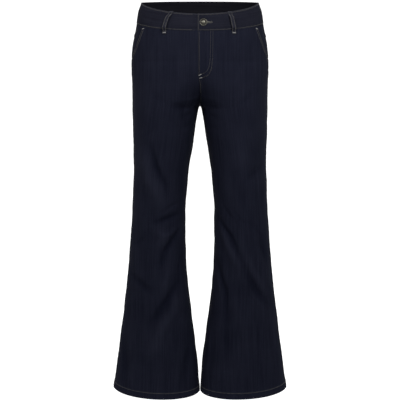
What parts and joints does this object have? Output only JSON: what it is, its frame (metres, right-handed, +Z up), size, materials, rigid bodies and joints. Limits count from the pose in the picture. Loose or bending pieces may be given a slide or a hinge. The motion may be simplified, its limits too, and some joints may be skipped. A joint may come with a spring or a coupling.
{
  "type": "flared jeans",
  "caption": "Mid-rise denim trousers with slanted front pockets, a zip fly with one button, back patch pockets and legs that flare below the knee.",
  "frame": {"origin": "centre of the waist opening, close to the mean height of its edge", "axes": "+Z up out of the waist, -Y the wearer's front, +X the wearer's left"},
  "size_m": [0.5018, 0.2523, 1.1264],
  "materials": {
    "denim": "dark rinse indigo twill, matt, with a fine diagonal weave",
    "thread": "matt cotton-wrapped topstitching thread, tan and dark navy",
    "button_metal": "satin, antique",
    "zip": "woven tape with closed metal teeth"
  },
  "bodies": {
    "root": {"front_panel_left": "denim", "front_panel_right": "denim", "back_panel_left": "denim", "back_panel_right": "denim", "yoke_left": "denim", "yoke_right": "denim", "front_pocket_facing_left": "denim", "front_pocket_facing_right": "denim", "back_pocket_left": "denim", "back_pocket_right": "denim", "waistband": "denim", "belt_loop_front_left": "denim", "belt_loop_front_right": "denim", "belt_loop_side_left": "denim", "belt_loop_side_right": "denim", "belt_loop_back": "denim", "fly_facing": "denim", "fly_shield": "denim", "zip": "zip", "button": "button_metal"}
  },
  "joints": []
}
